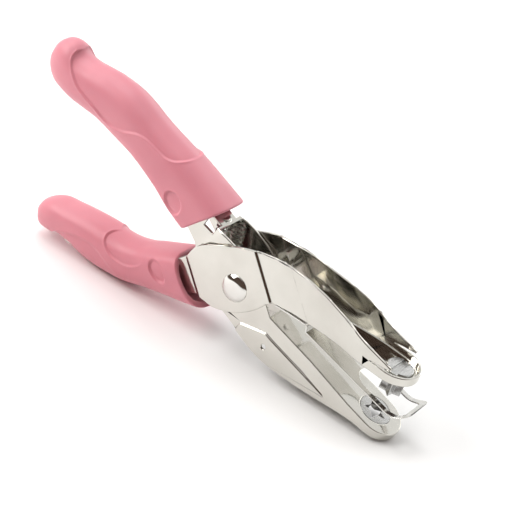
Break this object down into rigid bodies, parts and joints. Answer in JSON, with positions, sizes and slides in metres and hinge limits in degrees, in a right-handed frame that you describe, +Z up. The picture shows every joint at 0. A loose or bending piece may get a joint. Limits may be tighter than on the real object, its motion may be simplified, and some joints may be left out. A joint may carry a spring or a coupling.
{
  "type": "single hole hand punch",
  "caption": "Plier-type hand punch with a star pin, a sprung stripper leaf, nested pressed-steel levers and soft moulded grips.",
  "frame": {"origin": "centre of the footprint of the open punch, on the surface it stands on", "axes": "+X towards the nose of the jaws, +Y along the pivot rivet, +Z up"},
  "size_m": [0.1611, 0.0202, 0.0719],
  "materials": {
    "plated_steel": "bright nickel plating",
    "polished_steel": "polished",
    "spring_steel": "bright rolled",
    "tool_steel": "ground and turned",
    "spring_wire": "drawn wire",
    "pink_grip": "satin soft-touch"
  },
  "bodies": {
    "lower_jaw": {"lower_jaw_lever": "plated_steel", "upper_grip": "pink_grip", "pivot_rivet": "polished_steel", "pivot_spacer": "polished_steel", "die_button": "tool_steel", "return_spring": "spring_wire"},
    "upper_jaw": {"upper_jaw_lever": "plated_steel", "lower_grip": "pink_grip", "punch_pin": "tool_steel", "stripper_tab": "spring_steel", "stripper_rivets": "polished_steel"},
    "stripper": {"stripper_plate": "spring_steel"}
  },
  "joints": [
    {"name": "jaw_pivot", "type": "hinge", "parent": "lower_jaw", "child": "upper_jaw", "pos_m": [0.01144, 0, 0.02473], "axis": [0, 1, 0], "range_deg": [0, 13.3], "stiffness_Nm_per_rad": 0.9, "springref_deg": -14.32, "deforming": ["return_spring"]},
    {"name": "stripper_flex", "type": "hinge", "parent": "upper_jaw", "child": "stripper", "pos_m": [0.03867, 0, 0.02536], "axis": [0, 1, 0], "range_deg": [-11.5, 0]}
  ],
  "couplings": [
    {"joint": "stripper_flex", "follows": "jaw_pivot", "ratio": -0.86466}
  ]
}
